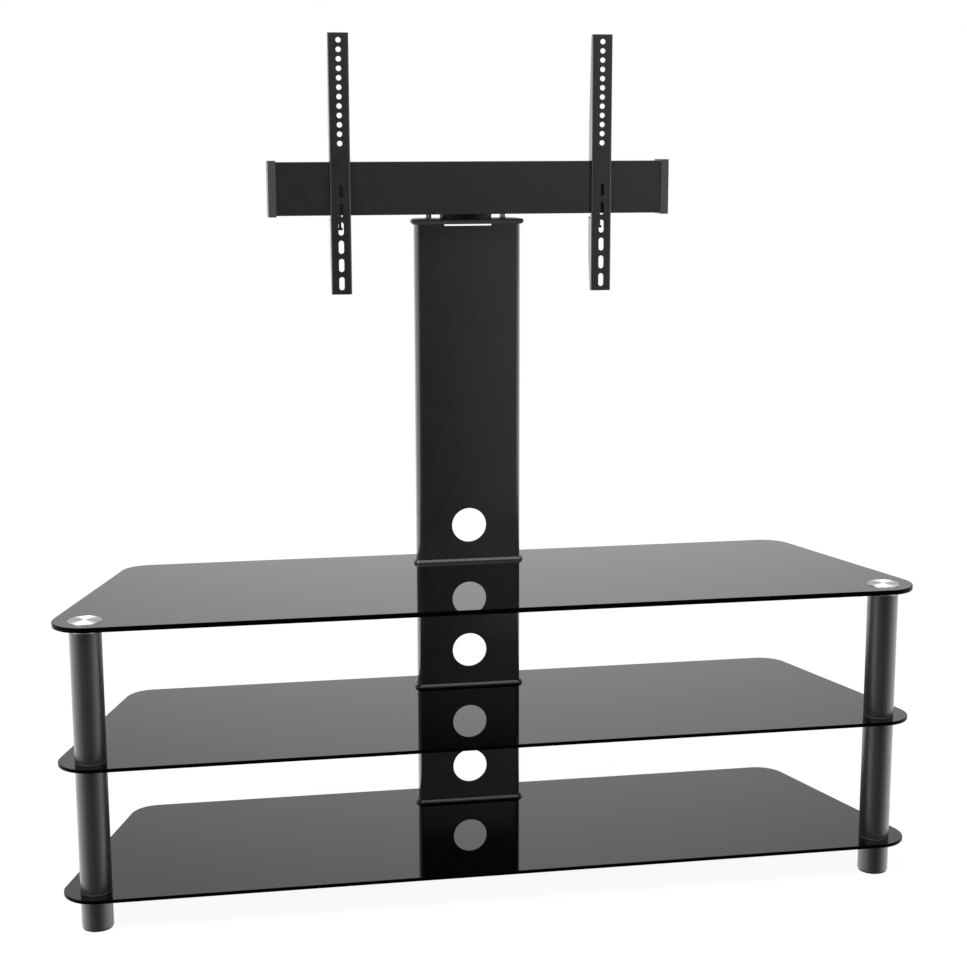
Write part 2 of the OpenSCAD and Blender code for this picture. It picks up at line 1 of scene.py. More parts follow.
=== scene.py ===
import json
import math

import bmesh
import bpy
from mathutils import Matrix, Vector


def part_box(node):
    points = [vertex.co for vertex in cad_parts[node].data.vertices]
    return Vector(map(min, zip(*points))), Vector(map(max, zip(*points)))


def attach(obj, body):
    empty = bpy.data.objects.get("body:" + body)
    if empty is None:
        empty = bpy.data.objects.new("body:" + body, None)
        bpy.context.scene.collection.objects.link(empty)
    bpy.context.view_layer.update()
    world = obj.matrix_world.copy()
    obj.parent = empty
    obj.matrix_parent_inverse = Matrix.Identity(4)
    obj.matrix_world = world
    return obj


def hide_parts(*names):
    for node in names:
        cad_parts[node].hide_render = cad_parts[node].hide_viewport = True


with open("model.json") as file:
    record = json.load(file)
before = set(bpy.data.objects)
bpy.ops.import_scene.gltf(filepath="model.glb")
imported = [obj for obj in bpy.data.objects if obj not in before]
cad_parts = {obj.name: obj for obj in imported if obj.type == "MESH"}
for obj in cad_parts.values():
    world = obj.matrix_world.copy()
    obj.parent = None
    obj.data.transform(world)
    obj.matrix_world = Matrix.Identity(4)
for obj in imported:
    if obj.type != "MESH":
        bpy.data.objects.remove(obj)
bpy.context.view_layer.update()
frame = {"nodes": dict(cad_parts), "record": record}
nodes = frame["nodes"]

# Blender measures in metres. Lengths in the design's millimetres are written with MM.
MM = 0.001

# Camera, fitted to the photograph in the model's own frame, in metres and radians.
CAMERA_AT = Vector((-0.5156, -2.9556, 1.2289))
CAMERA_YAW = 0.17386
CAMERA_PITCH = -0.18616
CAMERA_ROLL = -0.00246
SENSOR = 36.0
LENS = 68.08
CLIP_NEAR = 0.05
CLIP_FAR = 60.0


def make_camera():
    """Aims along the fitted yaw and pitch, then rolls about the line of sight."""
    ahead = Vector((math.sin(CAMERA_YAW) * math.cos(CAMERA_PITCH),
                    math.cos(CAMERA_YAW) * math.cos(CAMERA_PITCH),
                    math.sin(CAMERA_PITCH)))
    level = Vector((math.cos(CAMERA_YAW), -math.sin(CAMERA_YAW), 0))
    above = level.cross(ahead)
    across = math.cos(CAMERA_ROLL) * level + math.sin(CAMERA_ROLL) * above
    above = math.cos(CAMERA_ROLL) * above - math.sin(CAMERA_ROLL) * level
    data = bpy.data.cameras.new("camera")
    data.lens = LENS
    data.sensor_width = SENSOR
    data.clip_start = CLIP_NEAR
    data.clip_end = CLIP_FAR
    camera = bpy.data.objects.new("camera", data)
    bpy.context.scene.collection.objects.link(camera)
    axes = Matrix((across, above, -ahead)).transposed()
    camera.matrix_world = Matrix.Translation(CAMERA_AT) @ axes.to_4x4()
    bpy.context.scene.camera = camera


make_camera()


# Node helpers

# Where nearly all of a noise's values lie
NOISE_RANGE = (0.3, 0.7)
# Rays that the rounded normal takes
BEVEL_SAMPLES = 6
# Cosine between the rounded and the true normal where an edge is still whole, and where it is fully worn
WHOLE_EDGE = 0.995
WORN_EDGE = 0.8


def scaled(color, factor):
    return [c * factor for c in color]


class Nodes:
    """A node tree, and short ways to add nodes to it."""

    def __init__(self, tree):
        self.tree = tree
        tree.nodes.clear()

    def add(self, kind, **values):
        node = self.tree.nodes.new(kind)
        for key, value in values.items():
            node.inputs[key].default_value = value
        return node

    def join(self, a, b):
        self.tree.links.new(a, b)

    def feed(self, sockets, values):
        """Sets each socket to its number or vector, or links it to its output."""
        for socket, value in zip(sockets, values):
            if isinstance(value, (int, float, tuple)):
                socket.default_value = value
            elif value is not None:
                self.join(value, socket)

    def ramp(self, value, low, high, at_low=0.0, at_high=1.0):
        """value, taken from low..high to at_low..at_high."""
        node = self.add("ShaderNodeMapRange")
        keys = ("Value", "From Min", "From Max", "To Min", "To Max")
        self.feed([node.inputs[key] for key in keys], (value, low, high, at_low, at_high))
        return node.outputs["Result"]

    def math(self, operation, a, b=None):
        node = self.add("ShaderNodeMath")
        node.operation = operation
        self.feed(node.inputs, (a, b))
        return node.outputs[0]

    def vector_math(self, operation, a, b=None):
        node = self.add("ShaderNodeVectorMath")
        node.operation = operation
        self.feed(node.inputs, (a, b))
        return node

    def parts(self, vector):
        """The outputs X, Y and Z of a vector."""
        node = self.add("ShaderNodeSeparateXYZ")
        self.join(vector, node.inputs[0])
        return node.outputs


class Shader(Nodes):
    """A material with a Principled shader, and short ways to give it detail."""

    def __init__(self, name, color, roughness, metallic=0.0, ior=1.5, specular=0.5):
        self.material = bpy.data.materials.new(name)
        self.material.use_nodes = True
        super().__init__(self.material.node_tree)
        self.surface = self.add("ShaderNodeBsdfPrincipled", Metallic=metallic, IOR=ior, Roughness=roughness)
        self.surface.inputs["Base Color"].default_value = (*color, 1)
        self.surface.inputs["Specular IOR Level"].default_value = specular
        output = self.add("ShaderNodeOutputMaterial")
        self.join(self.surface.outputs[0], output.inputs["Surface"])
        self.place = self.add("ShaderNodeTexCoord").outputs["Object"]

    def stretched(self, scale):
        """Object coordinates, stretched along each axis."""
        mapping = self.add("ShaderNodeMapping", Scale=scale)
        self.join(self.place, mapping.inputs["Vector"])
        return mapping.outputs[0]

    def noise(self, scale, detail=2.0, roughness=0.5, where=None):
        node = self.add("ShaderNodeTexNoise", Scale=scale, Detail=detail, Roughness=roughness)
        self.join(where or self.place, node.inputs["Vector"])
        return node.outputs["Fac"]

    def spread(self, noise, low, high):
        """A noise, taken to low..high."""
        return self.ramp(noise, *NOISE_RANGE, low, high)

    def sideways(self, x):
        """A vector along X of that length."""
        node = self.add("ShaderNodeCombineXYZ")
        self.join(x, node.inputs["X"])
        return node.outputs[0]

    def tint(self, value, dark, light):
        """A colour between dark and light, by value."""
        node = self.add("ShaderNodeMix")
        node.data_type = "RGBA"
        node.inputs["A"].default_value = (*dark, 1)
        node.inputs["B"].default_value = (*light, 1)
        self.join(value, node.inputs["Factor"])
        return node.outputs["Result"]

    def color(self, socket):
        self.join(socket, self.surface.inputs["Base Color"])

    def shades(self, value, color, darker, lighter):
        """Colours the surface from darker to lighter times that colour, by value."""
        self.color(self.tint(value, scaled(color, darker), scaled(color, lighter)))

    def roughness(self, socket):
        self.join(socket, self.surface.inputs["Roughness"])

    def gloss(self, noise, roughness, below, above):
        """Spreads the surface's roughness round that value, from below under it to above over it."""
        self.roughness(self.spread(noise, roughness - below, roughness + above))

    def bump(self, height, depth, after=None):
        """Bump of that real depth in metres. after is a normal to start from."""
        node = self.add("ShaderNodeBump", Distance=depth)
        self.join(height, node.inputs["Height"])
        if after is not None:
            self.join(after, node.inputs["Normal"])
        self.join(node.outputs[0], self.surface.inputs["Normal"])
        return node.outputs[0]

    def rounded_normal(self, radius):
        """A normal that turns smoothly over a sharp edge, as on an eased edge of that radius."""
        rounded = self.add("ShaderNodeBevel", Radius=radius)
        rounded.samples = BEVEL_SAMPLES
        return rounded.outputs[0]

    def worn_edges(self, rounded):
        """1 on sharp edges and 0 on flat faces, from how far the rounded normal turns from the true one."""
        true = self.add("ShaderNodeNewGeometry").outputs["Normal"]
        cosine = self.vector_math("DOT_PRODUCT", rounded, true).outputs["Value"]
        return self.ramp(cosine, WHOLE_EDGE, WORN_EDGE)


# Materials. Noise scales are given as the rough number of its cells in a metre.

# The x on a column section's front where the shading starts to turn, where the turn gets steep and where
# it ends, how far the normal leans at the gentle part's end, and the course of the steep part as a tangent
TURN_START = -81 * MM
TURN_STEEP = -85.5 * MM
TURN_END = -90.6 * MM
GENTLE_LEAN = 0.28
STEEP_ANGLE = 1.5
STEEP_LEAN = 5
# How far the normal leans for each metre from the middle of that front
FRONT_BOW = 0.56


def column_form(m, normal, strength):
    """The normal on a column section's front: it bows very slightly, and turns early towards the left side,
    which the photograph shows as a soft bright strip. strength is that of the early turn."""
    x = m.parts(m.place)["X"]
    to_front = m.math("MAXIMUM", m.math("MULTIPLY", m.parts(normal)["Y"], -1), 0)
    steep = m.math("TANGENT", m.ramp(x, TURN_STEEP, TURN_END, 0, STEEP_ANGLE))
    gentle = m.ramp(x, TURN_START, TURN_STEEP, 0, GENTLE_LEAN)
    corner = m.math("ADD", m.math("MULTIPLY", steep, STEEP_LEAN), gentle)
    bow = m.math("MULTIPLY", x, FRONT_BOW)
    early = m.math("MULTIPLY", corner, strength)
    lean = m.math("MULTIPLY", m.math("SUBTRACT", bow, early), to_front)
    turned = m.vector_math("ADD", normal, m.sideways(lean)).outputs[0]
    return m.vector_math("NORMALIZE", turned).outputs[0]


COAT_CLOUD_SCALE = 9
COAT_GLOSS_SCALE = 60
COAT_RUB_SCALE = 220
COAT_PEEL_SCALE = 1300
COAT_PEEL_DEPTH = 0.03 * MM
# The darkest and the lightest shade beside the coat's colour, and what is added to the lightest. Broad
# clouds and rubbed edges each have a share in the shade.
COAT_DARKER = 0.8
COAT_LIGHTER = 1.25
COAT_LIFT = 0.004
CLOUD_SHARE = 0.5
RUBBED_SHARE = 0.5
# How far the roughness varies down and up
COAT_BELOW = 0.03
COAT_ABOVE = 0.04
# Where in its noise the rubbing fades in, and how much smoother it makes an edge
RUB_RANGE = (0.45, 0.7)
RUB_POLISH = -0.06


def powder_coat(name, color, roughness, specular, edge_radius, early_turn=None):
    """Fine satin powder coat: orange peel under a millimetre across, and slightly rubbed edges. early_turn
    is given for the column sections alone."""
    m = Shader(name, color, roughness, specular=specular)
    rounded = m.rounded_normal(edge_radius)
    rubbed = m.math("MULTIPLY", m.worn_edges(rounded), m.ramp(m.noise(COAT_RUB_SCALE, 3), *RUB_RANGE))
    cloud = m.math("MULTIPLY", m.noise(COAT_CLOUD_SCALE, 3), CLOUD_SHARE)
    shade = m.math("ADD", cloud, m.math("MULTIPLY", rubbed, RUBBED_SHARE))
    m.color(m.tint(shade, scaled(color, COAT_DARKER), [c * COAT_LIGHTER + COAT_LIFT for c in color]))
    gloss = m.spread(m.noise(COAT_GLOSS_SCALE, 4), roughness - COAT_BELOW, roughness + COAT_ABOVE)
    m.roughness(m.math("ADD", gloss, m.math("MULTIPLY", rubbed, RUB_POLISH)))
    normal = rounded if early_turn is None else column_form(m, rounded, early_turn)
    m.bump(m.noise(COAT_PEEL_SCALE, 2), COAT_PEEL_DEPTH, normal)
    return m.material


# PLAIN is a material's colour and roughness before its detail. COLORS and ROUGHNESS are the two ends that
# the detail runs between.

TUBE_PLAIN = ((0.013, 0.013, 0.014), 0.35)
TUBE_COLORS = ((0.011, 0.011, 0.012), (0.0155, 0.0155, 0.017))
TUBE_ROUGHNESS = (0.32, 0.39)
# The tube's drawing marks are narrow across it and long along it. Their height counts for that share
# beside the paint's grain.
DRAWN_SCALE = 60
DRAWN_STRETCH = (14, 14, 0.4)
DRAWN_SHARE = 0.5
PAINT_GLOSS_SCALE = 35
PAINT_GRAIN_SCALE = 1500
PAINT_DEPTH = 0.02 * MM
TUBE_END_EDGE = 0.8 * MM


def satin_tube(name):
    """Satin charcoal paint on round tube, with the faintest lengthwise drawing marks."""
    m = Shader(name, *TUBE_PLAIN)
    drawn = m.noise(DRAWN_SCALE, 3, where=m.stretched(DRAWN_STRETCH))
    m.color(m.tint(drawn, *TUBE_COLORS))
    m.roughness(m.spread(m.noise(PAINT_GLOSS_SCALE, 4), *TUBE_ROUGHNESS))
    relief = m.math("ADD", m.noise(PAINT_GRAIN_SCALE, 2), m.math("MULTIPLY", drawn, DRAWN_SHARE))
    m.bump(relief, PAINT_DEPTH, m.rounded_normal(TUBE_END_EDGE))
    return m.material


GLASS_PLAIN = ((0.0012, 0.0013, 0.0013), 0.02)
GLASS_COLORS = ((0.001, 0.0011, 0.0011), (0.0022, 0.0023, 0.0023))
GLASS_ROUGHNESS = (0.012, 0.03)
GLASS_IOR = 1.52
HANDLING_SCALE = 3.5
# Detail and roughness of the handling's noise, and where in it the handling fades in
HANDLING_NOISE = (6, 0.62)
HANDLING_RANGE = (0.42, 0.75)


def glass_face(name):
    """The polished face of black tempered glass, with a trace of handling."""
    m = Shader(name, *GLASS_PLAIN, ior=GLASS_IOR)
    handling = m.ramp(m.noise(HANDLING_SCALE, *HANDLING_NOISE), *HANDLING_RANGE)
    m.color(m.tint(handling, *GLASS_COLORS))
    m.roughness(m.ramp(handling, 0, 1, *GLASS_ROUGHNESS))
    return m.material


EDGE_PLAIN = ((0.0006, 0.0007, 0.0007), 0.2)
EDGE_COLORS = ((0.0004, 0.0005, 0.0005), (0.001, 0.0012, 0.0012))
EDGE_ROUGHNESS = (0.18, 0.28)
EDGE_SPECULAR = 0.012
# The grinding marks run round the shelf, so they are long across it and thin in height.
MARK_SCALE = 900
MARK_STRETCH = (0.3, 0.3, 3)
MARK_DEPTH = 0.02 * MM


def glass_edge(name):
    """The ground edge of the same glass, darker and duller, with fine grinding marks along it."""
    m = Shader(name, *EDGE_PLAIN, specular=EDGE_SPECULAR)
    marks = m.noise(MARK_SCALE, 2, where=m.stretched(MARK_STRETCH))
    m.color(m.tint(marks, *EDGE_COLORS))
    m.roughness(m.spread(marks, *EDGE_ROUGHNESS))
    m.bump(marks, MARK_DEPTH)
    return m.material


SPUN_PLAIN = ((0.75, 0.75, 0.75), 0.6)
SPUN_COLORS = ((0.72, 0.72, 0.72), (0.86, 0.86, 0.86))
SPUN_ROUGHNESS = (0.56, 0.66)
RING_SCALE = 2600
RING_DEPTH = 0.006 * MM
QUARTER_TURN = 0.25


def spun_metal(name, centre):
    """Aluminium turned on a lathe: fine rings, and a highlight that fans out from the middle."""
    m = Shader(name, *SPUN_PLAIN, metallic=1.0)
    m.surface.inputs["Anisotropic"].default_value = 1.0
    m.surface.inputs["Anisotropic Rotation"].default_value = QUARTER_TURN
    tangent = m.add("ShaderNodeTangent")
    tangent.direction_type = "RADIAL"
    tangent.axis = "Z"
    m.join(tangent.outputs[0], m.surface.inputs["Tangent"])
    shift = m.add("ShaderNodeMapping", Location=(-centre.x, -centre.y, 0))
    m.join(m.place, shift.inputs["Vector"])
    flat = m.vector_math("MULTIPLY", shift.outputs[0], (1, 1, 0)).outputs[0]
    radius = m.vector_math("LENGTH", flat).outputs["Value"]
    rings = m.noise(RING_SCALE, 3, where=m.sideways(radius))
    m.color(m.tint(rings, *SPUN_COLORS))
    m.roughness(m.spread(rings, *SPUN_ROUGHNESS))
    m.bump(rings, RING_DEPTH)
    return m.material


# SHADES are the darkest and the lightest beside a material's colour, and GLOSS is how far its roughness
# varies down and up.

MOTTLE_SCALE = 300
PLATE_SHADES = (0.85, 1.12)
PLATE_GLOSS = (0.05, 0.08)
PLATE_GRAIN_SCALE = 2500
PLATE_DEPTH = 0.015 * MM
PLATE_EDGE = 0.3 * MM


def plated_steel(name, color, roughness):
    """Zinc plate, faintly mottled, with the blue cast of its passivation."""
    m = Shader(name, color, roughness, metallic=1.0)
    mottle = m.noise(MOTTLE_SCALE, 4)
    m.shades(mottle, color, *PLATE_SHADES)
    m.gloss(mottle, roughness, *PLATE_GLOSS)
    m.bump(m.noise(PLATE_GRAIN_SCALE, 2), PLATE_DEPTH, m.rounded_normal(PLATE_EDGE))
    return m.material


RUBBER_PLAIN_ROUGHNESS = 0.7
RUBBER_ROUGHNESS = (0.62, 0.8)
RUBBER_SPECULAR = 0.3
RUBBER_SHADES = (0.7, 1.5)
RUBBER_GRAIN_SCALE = 700
RUBBER_DEPTH = 0.06 * MM
RUBBER_EDGE = 0.5 * MM


def rubber(name, shade):
    """Dull rubber with a fine moulded grain."""
    color = (shade, shade, shade)
    m = Shader(name, color, RUBBER_PLAIN_ROUGHNESS, specular=RUBBER_SPECULAR)
    grain = m.noise(RUBBER_GRAIN_SCALE, 4)
    m.shades(grain, color, *RUBBER_SHADES)
    m.roughness(m.spread(grain, *RUBBER_ROUGHNESS))
    m.bump(grain, RUBBER_DEPTH, m.rounded_normal(RUBBER_EDGE))
    return m.material


PLASTIC_SHADES = (0.92, 1.08)
PLASTIC_GLOSS = (0.03, 0.05)
PLASTIC_CLOUD_SCALE = 14
PLASTIC_GLOSS_SCALE = 80
PLASTIC_GRAIN_SCALE = 900
PLASTIC_DEPTH = 0.04 * MM
PLASTIC_EDGE = 1.4 * MM


def moulded_plastic(name, color, roughness, specular):
    """Injection-moulded plastic with spark-eroded grain."""
    m = Shader(name, color, roughness, specular=specular)
    grain = m.add("ShaderNodeTexVoronoi", Scale=PLASTIC_GRAIN_SCALE)
    m.join(m.place, grain.inputs["Vector"])
    m.shades(m.noise(PLASTIC_CLOUD_SCALE, 3), color, *PLASTIC_SHADES)
    m.gloss(m.noise(PLASTIC_GLOSS_SCALE, 3), roughness, *PLASTIC_GLOSS)
    m.bump(grain.outputs["Distance"], PLASTIC_DEPTH, m.rounded_normal(PLASTIC_EDGE))
    return m.material


COAT_ROUGHNESS = 0.2
COAT_SPECULAR = 0.45
COAT_EDGE = 0.9 * MM
COAT = (COAT_ROUGHNESS, COAT_SPECULAR, COAT_EDGE)
# The early turn of the shading at full strength, and as it shows on the sections between the shelves
FULL_TURN = 1.0
FAINT_TURN = 0.2
CAP_EDGE = 1.4 * MM

black = powder_coat("black_powder_coat", (0.012, 0.012, 0.0124), *COAT)
# The column sections wear the same black powder coat. Their lighter colours are painted light, most on the
# sections between the shelves, where it offsets their shade.
upper_coat_painted_light = powder_coat("upper_column_coat_painted_light", (0.0155, 0.0155, 0.016), *COAT, FULL_TURN)
lower_coat_painted_light = powder_coat("lower_column_coat_painted_light", (0.022, 0.022, 0.0225), *COAT, FAINT_TURN)
# The cap's colour is lifted well above the black coat, as a painted highlight across its front.
cap_coat_painted_highlight = powder_coat("cap_powder_coat_painted_highlight", (0.07, 0.07, 0.071), 0.35, 0.4, CAP_EDGE)
charcoal = satin_tube("charcoal_tube")
glass = glass_face("smoked_glass")
ground_edge = glass_edge("smoked_glass_edge")
zinc = plated_steel("zinc_plate", (0.47, 0.49, 0.52), 0.24)
dull_steel = plated_steel("turned_steel", (0.27, 0.27, 0.275), 0.28)
pads = rubber("rubber", 0.03)
pale_pads = rubber("pale_rubber", 0.22)
nylon = moulded_plastic("black_nylon", (0.002, 0.002, 0.002), 0.45, 0.1)
grey_plastic = moulded_plastic("cap_plastic", (0.045, 0.045, 0.046), 0.4, 0.5)

BY_SLOT = {
    "smoked_glass": glass,
    "charcoal_tube": charcoal,
    "black_powder_coat": black,
    "zinc_plate": zinc,
    "spun_aluminium": zinc,
    "rubber": pads,
    "black_nylon": nylon,
    "cap_plastic": grey_plastic,
}
# Nodes whose material differs a little from the rest of their slot: a different finish on the washers and
# bosses, painted light on the column sections, and a painted highlight on the cap
BY_NODE = {
    "glass_washers_left": pale_pads,
    "glass_washers_right": pale_pads,
    "top_boss_left": dull_steel,
    "top_boss_right": dull_steel,
    "column_upper": upper_coat_painted_light,
    "column_middle": lower_coat_painted_light,
    "column_lower": lower_coat_painted_light,
    "column_cap": cap_coat_painted_highlight,
}


def dress(node, material):
    """Gives a CAD node one material all over."""
    mesh = nodes[node].data
    mesh.materials.clear()
    mesh.materials.append(material)


for part in frame["record"]["subparts"]:
    dress(part["node"], BY_NODE.get(part["node"], BY_SLOT[part["material_slot"]]))


# Mesh helpers

# Depth of a thread's groove beside its pitch
THREAD_DEPTH = 0.55
# Points nearer than this are one
MERGE_DISTANCE = 1e-7


class Shape:
    """Points and faces that are gathered ring by ring, and then made into one piece."""

    def __init__(self):
        self.points = []
        self.faces = []

    def ring(self, points, place=None):
        start = len(self.points)
        self.points += [place @ Vector(p) if place else Vector(p) for p in points]
        return list(range(start, len(self.points)))

    def bridge(self, a, b):
        for i in range(len(a)):
            j = (i + 1) % len(a)
            self.faces.append((a[i], a[j], b[j], b[i]))

    def loft(self, rings, place=None):
        """Joins the rings in turn, and closes both ends."""
        loops = [self.ring(r, place) for r in rings]
        for a, b in zip(loops, loops[1:]):
            self.bridge(a, b)
        self.faces.append(tuple(reversed(loops[0])))
        self.faces.append(tuple(loops[-1]))

    def turned(self, profile, place=None, count=48):
        """Revolves (z, radius) pairs about Z. A radius may also be a function of the angle."""
        rings = []
        for z, radius in profile:
            ring = []
            for i in range(count):
                a = 2 * math.pi * i / count
                r = radius(a) if callable(radius) else radius
                ring.append((r * math.cos(a), r * math.sin(a), z))
            rings.append(ring)
        self.loft(rings, place)

    def cylinder(self, radius, low, high, place, count=48):
        self.turned([(low, radius), (high, radius)], place, count)

    def thread(self, radius, pitch, low, high, place=None, count=20, steps=6):
        """A true helical thread between two heights, round a core that closes its ends."""
        depth = THREAD_DEPTH * pitch
        rows = []
        for k in range(int((high - low) / pitch * steps) + 2 * steps):
            row = []
            for j in range(count):
                a = 2 * math.pi * j / count
                z = low + pitch * (k / steps + j / count - 1)
                r = radius - depth * abs(2 * (k % steps) / steps - 1)
                row.append((r * math.cos(a), r * math.sin(a), min(max(z, low), high)))
            rows.append(self.ring(row, place))
        for k in range(len(rows) - steps):
            for j in range(count - 1):
                self.faces.append((rows[k][j], rows[k][j + 1], rows[k + 1][j + 1], rows[k + 1][j]))
            # A turn ends where the row one turn further on begins.
            seam = [rows[k][-1], rows[k + steps][0]]
            if k + steps + 1 < len(rows):
                seam.append(rows[k + steps + 1][0])
            self.faces.append((*seam, rows[k + 1][-1]))

    def piece(self, name, materials, body, slot, replaced, sharp=35):
        """Makes the object, smooth but for edges sharper than that angle, riding on its body in place of the
        CAD nodes that it replaces."""
        mesh = bpy.data.meshes.new(name)
        mesh.from_pydata(self.points, [], self.faces)
        work = bmesh.new()
        work.from_mesh(mesh)
        bmesh.ops.remove_doubles(work, verts=work.verts, dist=MERGE_DISTANCE)
        bmesh.ops.recalc_face_normals(work, faces=work.faces)
        work.to_mesh(mesh)
        work.free()
        for material in materials:
            mesh.materials.append(material)
        mesh.shade_smooth()
        mesh.set_sharp_from_angle(angle=math.radians(sharp))
        made = bpy.data.objects.new(name, mesh)
        bpy.context.scene.collection.objects.link(made)
        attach(made, body)
        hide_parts(*replaced)
        return made


def hexagon(across):
    """Radius of a hexagon across its flats, as a function of the angle."""
    def radius(a):
        return across / 2 / math.cos((a % (math.pi / 3)) - math.pi / 6)
    return radius


def clipped(across, circle):
    """The same hexagon, cut to a circle, as a chamfered nut's end face is."""
    full = hexagon(across)

    def radius(a):
        return min(full(a), circle)
    return radius


def hex_block(across, low, high, ease):
    """Profile of a hexagonal head or nut with both ends chamfered."""
    end = clipped(across, across / 2)
    return [(low, end), (low + ease, hexagon(across)), (high - ease, hexagon(across)), (high, end)]


def levels(base, pairs):
    """A profile from pairs, in millimetres, of a height over base and the radius there."""
    return [(base + rise * MM, radius * MM) for rise, radius in pairs]


def upright(x, y):
    return Matrix.Translation((x, y, 0))


def arc(centre, radius, start, end, count):
    """Points along an arc between two angles in degrees."""
    angles = [math.radians(start + (end - start) * i / count) for i in range(count + 1)]
    return [(centre[0] + radius * math.cos(a), centre[1] + radius * math.sin(a)) for a in angles]


def mirrored_outline(right):
    """A right-hand outline that runs from front to back, closed by its mirror image."""
    return right + [(-x, y) for x, y in reversed(right)]


# Glass shelves, with a ground edge and an arris along it. The outline repeats the design's arcs.

# Degrees by which a shelf's slanting side faces back, and the radii of its corners
SIDE_ANGLE = 17.8
FRONT_CORNER = 52 * MM
BACK_CORNER = 49 * MM
FRONT_STEPS = 24
BACK_STEPS = 16
ARRIS = 0.7 * MM
GLASS_SHARP = 25
# A face is polished where its normal is more upright than this, and ground elsewhere
POLISHED_FROM = 0.9


def shelf_outline(width, depth, inset):
    """The shelf's outline, drawn in by inset."""
    out = (math.cos(math.radians(SIDE_ANGLE)), math.sin(math.radians(SIDE_ANGLE)))
    front = (width / 2 - FRONT_CORNER, FRONT_CORNER - depth / 2)
    back_y = depth / 2 - BACK_CORNER
    run_in = FRONT_CORNER - BACK_CORNER - (back_y - front[1]) * out[1]
    back = (front[0] + run_in / out[0], back_y)
    right = (arc(front, FRONT_CORNER - inset, -90, SIDE_ANGLE, FRONT_STEPS) +
             arc(back, BACK_CORNER - inset, SIDE_ANGLE, 90, BACK_STEPS))
    return mirrored_outline(right)


def make_shelf(node):
    low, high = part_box(node)
    width, depth = high.x - low.x, high.y - low.y
    edge = [(low.z, ARRIS), (low.z + ARRIS, 0), (high.z - ARRIS, 0), (high.z, ARRIS)]
    shape = Shape()
    shape.loft([[(x, y, z) for x, y in shelf_outline(width, depth, inset)] for z, inset in edge])
    made = shape.piece(node + "_glass", [glass, ground_edge], "stand", "smoked_glass", [node], GLASS_SHARP)
    for face in made.data.polygons:
        face.material_index = 0 if abs(face.normal.z) > POLISHED_FROM else 1


for shelf in ("glass_shelf_top", "glass_shelf_middle", "glass_shelf_bottom"):
    make_shelf(shelf)


# Collars: round-edged mouldings that follow the column's outline

COLUMN_HALF = 91 * MM
COLUMN_FRONT = 126 * MM
COLUMN_BACK = 188 * MM
COLUMN_BOW = 135 * MM
COLUMN_WIDE_Y = 133 * MM
COLUMN_FRONT_R = 9 * MM
COLUMN_BACK_R = 14 * MM
CORNER_STEPS = 10
SIDE_STEPS = 12
COLLAR_SIDE = 5.5 * MM
COLLAR_LIP = 2 * MM
# In millimetres, the height of each level of the collar, and how far it is drawn in there at the sides and
# at the front and back
COLLAR_LEVELS = ((0, 0.3, 0.3), (0.3, 0, 0), (0.9, 0, 0), (3.0, 0.8, 0.8), (4.8, 1.7, 1.6),
                 (5.6, 2.4, 1.85), (6.0, 3.4, 1.95))


def column_outline(side_out, face_out):
    """The column's section, moved out by different amounts at the sides and at the front and back."""
    big = COLUMN_BOW + side_out
    bow = (COLUMN_HALF + side_out - big, COLUMN_WIDE_Y)
    y0, y1 = COLUMN_FRONT - face_out, COLUMN_BACK + face_out
    corners = []
    for radius, y in ((COLUMN_FRONT_R, y0 + COLUMN_FRONT_R), (COLUMN_BACK_R, y1 - COLUMN_BACK_R)):
        x = bow[0] + math.sqrt((big - radius) ** 2 - (y - bow[1]) ** 2)
        corners.append(((x, y), math.degrees(math.atan2(y - bow[1], x - bow[0]))))
    (front, front_turn), (back, back_turn) = corners
    right = (arc(front, COLUMN_FRONT_R, -90, front_turn, CORNER_STEPS) +
             arc(bow, big, front_turn, back_turn, SIDE_STEPS)[1:-1] +
             arc(back, COLUMN_BACK_R, back_turn, 90, CORNER_STEPS))
    return mirrored_outline(right)


def make_collar(node):
    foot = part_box(node)[0].z
    rings = []
    for rise, side, face in COLLAR_LEVELS:
        outline = column_outline(COLLAR_SIDE - side * MM, COLLAR_LIP - face * MM)
        rings.append([(x, y, foot + rise * MM) for x, y in outline])
    shape = Shape()
    shape.loft(rings)
    shape.piece(node + "_moulding", [black], "stand", "black_powder_coat", [node])


for collar in ("collar_top", "collar_middle", "collar_bottom"):
    make_collar(collar)


# Spun discs on the top shelf

STUD_RADIUS = 5 * MM
DISC_THICKNESS = 2 * MM
# In millimetres, the height over the disc's underside and how far the rim is drawn in there
DISC_RIM = ((0, 0.1), (0.15, 0), (0.5, 0), (1.1, 0.5), (1.6, 1.3), (2, 2.6))
DIMPLE_RADIUS = 1.6 * MM
DIMPLE_DEPTH = 0.5 * MM
DIMPLE_POINT = 0.1 * MM
DISC_STEPS = 72


def make_disc(node):
    low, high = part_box(node)
    centre = (low + high) / 2
    radius = (high.x - low.x) / 2
    under = high.z - DISC_THICKNESS
    stud = [(low.z, STUD_RADIUS), (under, STUD_RADIUS)]
    rim = [(under + rise * MM, radius - inset * MM) for rise, inset in DISC_RIM]
    dimple = [(high.z, DIMPLE_RADIUS), (high.z - DIMPLE_DEPTH, DIMPLE_POINT)]
    shape = Shape()
    shape.turned(stud + rim + dimple, upright(centre.x, centre.y), DISC_STEPS)
    shape.piece(node + "_spun", [spun_metal("spun_" + node, centre)], "stand", "spun_aluminium", [node])


for disc in ("top_disc_left", "top_disc_right"):
    make_disc(disc)


# Fasteners with their threads, chamfers and drives. A thread or shank starts a little inside its head or
# washer, so that no gap shows between them.

# Radius and pitch of each thread
M4 = (2 * MM, 0.7 * MM)
M5 = (2.5 * MM, 0.8 * MM)
M6 = (3 * MM, 1 * MM)
M8 = (4 * MM, 1.25 * MM)
M12 = (6 * MM, 1.5 * MM)
